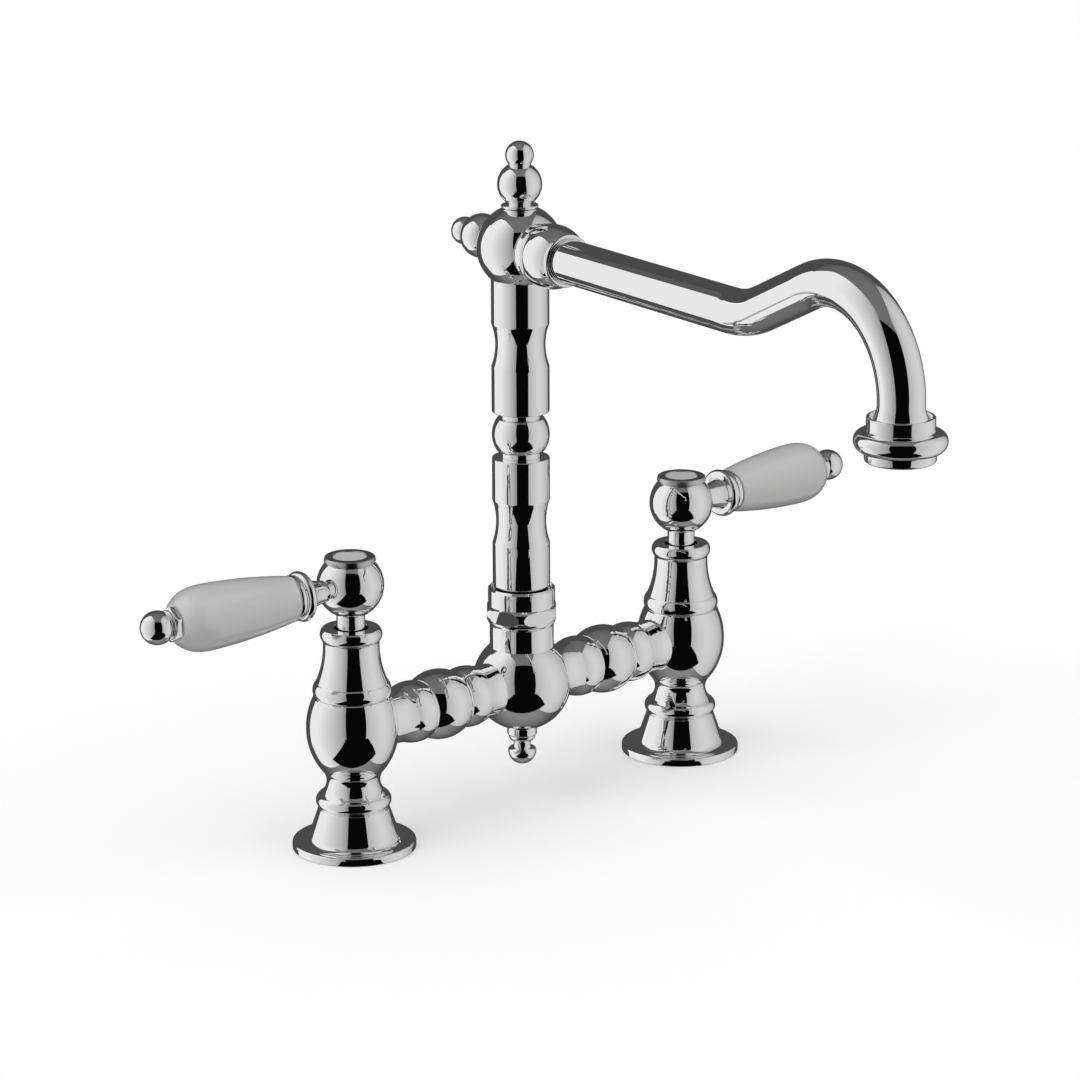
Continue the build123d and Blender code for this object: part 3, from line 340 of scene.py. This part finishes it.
def in_order(edges):
    """The edges one after another, and whether they close on themselves."""
    following = {place_key(edge[0]): edge for edge in edges}
    incoming = {place_key(edge[1]) for edge in edges}
    loose = [edge for edge in edges if place_key(edge[0]) not in incoming]
    edge = loose[0] if loose else edges[0]
    chain = []
    while edge is not None and len(chain) <= len(edges):
        chain.append(edge)
        edge = following.get(place_key(edge[1]))
        if edge is chain[0]:
            break
    return chain, not loose


def angle_between(n, m):
    return abs(atan2(n[0] * m[1] - n[1] * m[0], n[0] * m[0] + n[1] * m[1]))


def smooth_runs(chain, closed):
    """The outline cut at its sharp corners into runs of (points, normals)."""
    count = len(chain)
    sharp = [
        (i > 0 or closed) and angle_between(chain[i - 1][3], chain[i][2]) > sharp_turn
        for i in range(count)
    ]
    first = sharp.index(True) if closed and True in sharp else 0
    runs = []
    for step in range(count):
        i = (first + step) % count
        edge = chain[i]
        if step == 0 or sharp[i]:
            runs.append(([edge[0]], [edge[2]]))
        points, normals = runs[-1]
        points.append(edge[1])
        normals.append(edge[3])
    return runs


def trim(points, normals, cut_start, cut_end):
    """The run without a length at either end."""
    points = np.array(points)
    normals = np.array(normals)
    lengths = np.hypot(*np.diff(points, axis=0).T)
    along = np.concatenate(([0.0], np.cumsum(lengths)))
    low, high = cut_start, along[-1] - cut_end
    keep = (along > low + same_place) & (along < high - same_place)
    stops = np.concatenate(([low], along[keep], [high]))
    placed = [np.interp(stops, along, points[:, k]) for k in (0, 1)]
    facing = [np.interp(stops, along, normals[:, k]) for k in (0, 1)]
    return np.array(placed).T, np.array(facing).T


def run_length(run):
    return float(np.hypot(*np.diff(np.array(run[0]), axis=0).T).sum())


def rounded_outline(chain, closed, size):
    """Points and normals of the outline with each sharp corner rounded."""
    runs = smooth_runs(chain, closed)
    count = len(runs)
    cuts = [min(size, most_of_run * run_length(run)) for run in runs]
    points, normals = [], []
    for i, (run_points, run_normals) in enumerate(runs):
        rounds_start = closed or i > 0
        rounds_end = closed or i < count - 1
        before = min(cuts[i], cuts[i - 1]) if rounds_start else 0.0
        after = min(cuts[i], cuts[(i + 1) % count]) if rounds_end else 0.0
        placed, facing = trim(run_points, run_normals, before, after)
        points.extend(placed)
        normals.extend(facing)
        if after:
            corner = np.array(run_points[-1])
            next_points, next_normals = runs[(i + 1) % count]
            target = trim(next_points, next_normals, after, 0.0)[0][0]
            turn = angle_between(run_normals[-1], next_normals[0])
            steps = max(2, ceil(turn / corner_step))
            for step in range(1, steps):
                t = step / steps
                place = (1 - t) ** 2 * placed[-1] + 2 * t * (1 - t) * corner + t**2 * target
                way = (1 - t) * (corner - placed[-1]) + t * (target - corner)
                points.append(place)
                normals.append(np.array((way[1], -way[0])))
    return points, normals


def spin(name, points, normals, closed, origin, axis):
    """Mesh of the outline turned about the axis, with the outline's own normals."""
    axis = Vector(axis)
    across = axis.orthogonal().normalized()
    beyond = axis.cross(across)
    ways = [
        across * cos(2 * pi * k / turn_steps) + beyond * sin(2 * pi * k / turn_steps)
        for k in range(turn_steps)
    ]
    vertices, facing, rings = [], [], []
    for (radius, height), (out, up) in zip(points, normals):
        if radius < same_place:
            rings.append([len(vertices)])
            vertices.append(Vector(origin) + axis * height)
            facing.append(axis * (1.0 if up > 0 else -1.0))
        else:
            rings.append(list(range(len(vertices), len(vertices) + turn_steps)))
            for way in ways:
                vertices.append(Vector(origin) + axis * height + way * radius)
                facing.append((way * out + axis * up).normalized())
    faces = []
    pairs = list(zip(rings, rings[1:]))
    if closed:
        pairs.append((rings[-1], rings[0]))
    for low, high in pairs:
        for k in range(turn_steps):
            after = (k + 1) % turn_steps
            if len(low) == 1:
                faces.append((low[0], high[after], high[k]))
            elif len(high) == 1:
                faces.append((low[k], low[after], high[0]))
            else:
                faces.append((low[k], low[after], high[after], high[k]))
    return mesh_of(name, vertices, faces, facing)


def mesh_of(name, vertices, faces, facing):
    mesh = bpy.data.meshes.new(name)
    mesh.from_pydata([tuple(v) for v in vertices], [], faces)
    mesh.validate()
    mesh.polygons.foreach_set("use_smooth", [True] * len(mesh.polygons))
    mesh.normals_split_custom_set_from_vertices([tuple(n) for n in facing])
    return mesh


def stand_for(node, mesh, finish=None):
    """Puts a finer piece in a CAD node's place."""
    mesh.materials.append(materials[finish or slots[node]])
    piece = link(bpy.data.objects.new(node + "_turned", mesh))
    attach(piece, bodies[node])
    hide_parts(node)


def swept(place, tilt, legs):
    """Outline edges that run on from a place, leg by leg."""
    edges = []
    for run, goal in legs:
        steps = max(1, ceil(abs(goal - tilt) / fine_step))
        bend = (goal - tilt) / steps
        for _ in range(steps):
            way = tilt + bend / 2
            far = (place[0] - run / steps * sin(way), place[1] + run / steps * cos(way))
            after = tilt + bend
            edges.append((place, far, (cos(tilt), sin(tilt)), (cos(after), sin(after))))
            place, tilt = far, after
    return edges


def nearest_edge(chain, place):
    """Index of the edge that runs closest to a place."""

    def gap(edge):
        start, way = np.array(edge[0]), np.array(edge[1]) - np.array(edge[0])
        share = np.clip((np.array(place) - start) @ way / (way @ way), 0, 1)
        return hypot(*(start + share * way - place))

    return min(range(len(chain)), key=lambda index: gap(chain[index]))


def redrawn(chain, place, tilt, legs):
    """The outline with a stretch of it drawn anew, from a place to where the legs end."""
    fresh = swept(place, tilt, legs)
    end = fresh[-1][1]
    first, last = nearest_edge(chain, place), nearest_edge(chain, end)
    start_edge = (chain[first][0], place, *chain[first][2:])
    end_edge = (end, chain[last][1], *chain[last][2:])
    joined = [*chain[:first], start_edge, *fresh, end_edge, *chain[last + 1 :]]
    return [
        edge for edge in joined
        if hypot(edge[1][0] - edge[0][0], edge[1][1] - edge[0][1]) > shortest_edge
    ]


def foot_hollow():
    """The round hollow between flange and cone, as redrawn() takes it."""
    turn = pi / 2 - cone_tilt
    cut = foot_hollow_radius * tan(turn / 2)
    place = (foot_corner[0] + cut, foot_corner[1])
    return place, pi / 2, ((foot_hollow_radius * turn, cone_tilt),)


def turn_again(node, origin, axis, size=edge_round, finish=None, hollow=None):
    """Spins a node's own outline again, and puts the piece in the node's place."""
    chain, closed = in_order(close_flats(read_edges(node, origin, axis)))
    if hollow:
        chain = redrawn(chain, *hollow)
    points, normals = rounded_outline(chain, closed, size)
    stand_for(node, spin(node, points, normals, closed, origin, axis), finish)


def make_turned_pieces():
    for side, x in (("left", -half_spacing), ("right", half_spacing)):
        foot = Vector((x, 0.0, 0.0))
        turn_again(f"{side}_foot", foot, upward, hollow=foot_hollow())
        turn_again(f"{side}_bonnet", foot, upward, hollow=bead_hollow)
        turn_again(f"{side}_index_ring", foot, upward, ring_round, "satin")
        turn_again(f"{side}_index_button", foot, upward, finish="enamel")
        turn = lever_turns[side]
        arm = Vector((cos(turn), sin(turn), 0.0))
        for part in ("lever_arm", "lever_sleeve", "tip_ball"):
            turn_again(f"{side}_{part}", foot + upward * lever_height, arm)
        turn_again(f"{side}_bridge_link", upward * bridge_height, Vector((1.0, 0.0, 0.0)))
    middle = Vector((0.0, 0.0, 0.0))
    for node in ("bottom_finial", "lower_column", "column_knop", "upper_column", "top_finial"):
        turn_again(node, middle, upward)
    turn_again("back_finial", upward * elbow_height, spout_direction)
    turn_again("spout_collar", upward * elbow_height, spout_direction, collar_round)
    for node in ("outlet_collar", "aerator_shell"):
        turn_again(node, spout_direction * spout_reach, upward)


# ---- Spout tube ----
tube_radius = 0.0098
tube_wall = 0.0015
tube_root = 0.0095
arm_run = 0.1543
rise_angle = radians(25.94)
rise_round = 0.0507
rise_run = 0.0332
fall_round = 0.0411
tube_tail = 0.0100
flare_radius = 0.0112
flare_start = 0.0008
flare_length = 0.0046
flare_steps = 8
bend_step = 0.0012
straight_step = 0.012


def spout_line():
    """Stations along the spout as (reach, height, slope), slope in radians above level."""
    stations = []

    def straight(start, length, slope, first=0):
        steps = max(1, ceil(length / straight_step))
        for k in range(first, steps + 1):
            stations.append((
                start[0] + cos(slope) * length * k / steps,
                start[1] + sin(slope) * length * k / steps,
                slope,
            ))

    def bend(start, radius, slope, to_slope):
        steps = ceil(radius * abs(to_slope - slope) / bend_step)
        way = 1.0 if to_slope > slope else -1.0
        middle = (start[0] - way * radius * sin(slope), start[1] + way * radius * cos(slope))
        for k in range(1, steps + 1):
            s = slope + (to_slope - slope) * k / steps
            reach, height = middle[0] + way * radius * sin(s), middle[1] - way * radius * cos(s)
            stations.append((reach, height, s))

    straight((tube_root, elbow_height), arm_run - tube_root, 0.0)
    bend(stations[-1][:2], rise_round, 0.0, rise_angle)
    straight(stations[-1][:2], rise_run, rise_angle, 1)
    bend(stations[-1][:2], fall_round, rise_angle, -pi / 2)
    end = stations[-1][:2]
    for k in range(1, flare_steps + 1):
        height = end[1] - flare_start - flare_length * k / flare_steps
        stations.append((end[0], height, -pi / 2))
    stations.append((end[0], end[1] - tube_tail, -pi / 2))
    return stations, end[1]


def make_spout_tube():
    """The tube, open along its middle, with a flare just above the outlet."""
    stations, end_height = spout_line()
    side = upward.cross(spout_direction)
    vertices, facing, rings = [], [], []

    def add_ring(station, radius, inward, lean=0.0):
        reach, height, slope = station
        middle = spout_direction * reach + upward * height
        along = spout_direction * cos(slope) + upward * sin(slope)
        over = along.cross(side)
        rings.append(range(len(vertices), len(vertices) + turn_steps))
        for k in range(turn_steps):
            a = 2 * pi * k / turn_steps
            way = side * cos(a) + over * sin(a)
            vertices.append(middle + way * radius)
            facing.append(((way * -1.0 if inward else way) - along * lean).normalized())

    for station in stations:
        below = end_height - flare_start - station[1]
        radius = tube_radius
        lean = 0.0
        if station[2] == -pi / 2 and below > 0:
            share = min(1.0, below / flare_length)
            radius += (flare_radius - tube_radius) * share**2
            lean = 2 * share * (flare_radius - tube_radius) / flare_length if share < 1 else 0.0
        add_ring(station, radius, False, lean)
    for station in reversed(stations):
        add_ring(station, tube_radius - tube_wall, True)
    faces = []
    for low, high in zip(rings, rings[1:] + rings[:1]):
        for k in range(turn_steps):
            after = (k + 1) % turn_steps
            faces.append((low[k], low[after], high[after], high[k]))
    stand_for("spout_tube", mesh_of("spout_tube", vertices, faces, facing))


# ---- Studio: greys are the cards' own brightness ----
card_middle = Vector((0.0, 0.0, 0.13))
left_grey = 0.86
right_grey = 0.68
ceiling_grey = 0.16
under_grey = 0.24
back_grey = 0.07
black_grey = 0.002
floor_grey = 0.90
floor_roughness = 0.9
floor_lift = 0.21
floor_reach = 30.0
room_range = 4.3
even_light = 0.55
white = 1.0

# Heights count for less than level reach in the dimming of a card.
flattening = Vector((1.0, 1.0, 0.35))


def place_at(azimuth, elevation, distance):
    """Place in the studio: azimuth from the camera, elevation, and level distance."""
    a = radians(azimuth)
    level = camera_right * sin(a) + toward_camera * cos(a)
    return card_middle + level * distance + upward * distance * tan(radians(elevation))


def card(name, corners, grey, dimming=None):
    """Card that only reflections see, plain or dimming with the distance from a place.
    The dimming is (place, reach still bright, reach of the end, share left there)."""
    corners = [place_at(*corner) for corner in corners]
    mesh = bpy.data.meshes.new(name)
    mesh.from_pydata([tuple(c) for c in corners], [], [tuple(range(len(corners)))])
    made, nodes, links = new_material(name)
    nodes.clear()
    out = nodes.new("ShaderNodeOutputMaterial")
    glow = nodes.new("ShaderNodeEmission")
    glow.inputs["Color"].default_value = (grey, grey, grey, 1)
    links.new(glow.outputs[0], out.inputs[0])
    if dimming:
        brightest, near, far, left_over = dimming
        place = nodes.new("ShaderNodeTexCoord").outputs["Object"]
        squash = nodes.new("ShaderNodeVectorMath")
        squash.operation = "MULTIPLY"
        squash.inputs[1].default_value = flattening
        links.new(place, squash.inputs[0])
        away = nodes.new("ShaderNodeVectorMath")
        away.operation = "DISTANCE"
        away.inputs[1].default_value = place_at(*brightest) * flattening
        links.new(squash.outputs[0], away.inputs[0])
        fall = add_range(nodes, links, away.outputs["Value"], near, far, 1.0, left_over)
        links.new(fall, glow.inputs["Strength"])
    mesh.materials.append(made)
    obj = link(bpy.data.objects.new(name, mesh))
    obj.visible_camera = False
    obj.visible_diffuse = False
    obj.visible_shadow = False


def make_cards():
    """Each card has corners of (azimuth, elevation, level distance), a grey, and its dimming."""
    card(
        "softbox_left",
        [(-13, -42, 1.05), (-24, 57, 1.05), (-121, 54, 1.6), (-121, -43, 1.6)],
        left_grey, ((-110, 0, 1.45), 0.8, 1.85, 0.30),
    )
    card(
        "softbox_right",
        [(27, -40, 1.25), (42, 57, 1.25), (138, 52, 1.6), (138, -41, 1.6)],
        right_grey, ((80, 0, 0.87), 0.1, 1.35, 0.50),
    )
    card(
        "black_strip",
        [(-47, -43, 2.2), (52, -43, 2.4), (52, 40, 2.4), (-47, 40, 2.2)],
        black_grey,
    )
    card(
        "black_skirt",
        [(-19, -18, 1.0), (34, -18, 1.0), (67, -40, 0.9), (-68, -40, 0.9)],
        black_grey,
    )
    card(
        "back_wall",
        [(-125, -38, 3.1), (125, -38, 3.1), (125, 38, 3.1), (-125, 38, 3.1)],
        back_grey,
    )
    around = (45, 135, 225, 315)
    card(
        "ceiling", [(azimuth, 25, room_range) for azimuth in around], ceiling_grey,
        ((0, 63, 1.0), 1.0, 4.2, back_grey / ceiling_grey),
    )
    card(
        "under_card", [(azimuth, -25, room_range) for azimuth in around], under_grey,
        ((0, -53, 1.5), 1.2, 3.2, back_grey / under_grey),
    )


def seen_plainly(nodes, links):
    """1 for camera, glossy and transmission rays, 0 for the light that falls on things."""
    path = nodes.new("ShaderNodeLightPath")
    seen = path.outputs["Is Camera Ray"]
    for ray in ("Is Glossy Ray", "Is Transmission Ray"):
        either = nodes.new("ShaderNodeMath")
        either.operation = "MAXIMUM"
        links.new(seen, either.inputs[0])
        links.new(path.outputs[ray], either.inputs[1])
        seen = either.outputs[0]
    return seen


def make_floor():
    """White floor that keeps the shadow, lifted a little where it is seen."""
    mesh = bpy.data.meshes.new("floor")
    near, far = -floor_reach, floor_reach
    corners = [(near, near, 0), (far, near, 0), (far, far, 0), (near, far, 0)]
    mesh.from_pydata(corners, [], [(0, 1, 2, 3)])
    made, nodes, links = new_material("floor")
    shader = nodes["Principled BSDF"]
    shader.inputs["Base Color"].default_value = (floor_grey, floor_grey, floor_grey, 1)
    shader.inputs["Roughness"].default_value = floor_roughness
    shader.inputs["Specular IOR Level"].default_value = 0.0
    shader.inputs["Emission Color"].default_value = (1, 1, 1, 1)
    lift = add_range(nodes, links, seen_plainly(nodes, links), 0, 1, 0, floor_lift)
    links.new(lift, shader.inputs["Emission Strength"])
    mesh.materials.append(made)
    obj = link(bpy.data.objects.new("floor", mesh))
    obj.visible_glossy = False
    obj.visible_diffuse = False


def make_world():
    """Even light, and a background that camera, glossy and transmission rays all see as white."""
    world = bpy.data.worlds.new("studio")
    bpy.context.scene.world = world
    world.use_nodes = True
    nodes = world.node_tree.nodes
    links = world.node_tree.links
    nodes.clear()
    out = nodes.new("ShaderNodeOutputWorld")
    mix = nodes.new("ShaderNodeMixShader")
    links.new(seen_plainly(nodes, links), mix.inputs["Fac"])
    for socket, strength in ((1, even_light), (2, white)):
        light = nodes.new("ShaderNodeBackground")
        light.inputs["Color"].default_value = (1, 1, 1, 1)
        light.inputs["Strength"].default_value = strength
        links.new(light.outputs[0], mix.inputs[socket])
    links.new(mix.outputs[0], out.inputs["Surface"])


def soft_sun(name, azimuth, elevation, strength, spread):
    """Wide, soft light from a direction of the studio; all angles are in degrees."""
    a, e = radians(azimuth), radians(elevation)
    out = (toward_camera * cos(a) + camera_right * sin(a)) * cos(e) + upward * sin(e)
    data = bpy.data.lights.new(name, "SUN")
    data.energy = strength
    data.angle = radians(spread)
    obj = link(bpy.data.objects.new(name, data))
    obj.location = card_middle + out
    obj.rotation_euler = out.to_track_quat("Z", "Y").to_euler()
    obj.visible_glossy = False


def dress_nodes():
    """Gives every CAD node that stays its slot's finish."""
    for node, obj in frame["nodes"].items():
        obj.data.materials.clear()
        obj.data.materials.append(materials[slots[node]])


make_camera()
dress_nodes()
make_turned_pieces()
make_spout_tube()
make_cards()
make_floor()
make_world()
soft_sun("key", azimuth=-55, elevation=50, strength=0.95, spread=50)
soft_sun("fill", azimuth=70, elevation=45, strength=0.45, spread=60)
bpy.context.scene.view_settings.view_transform = "Standard"
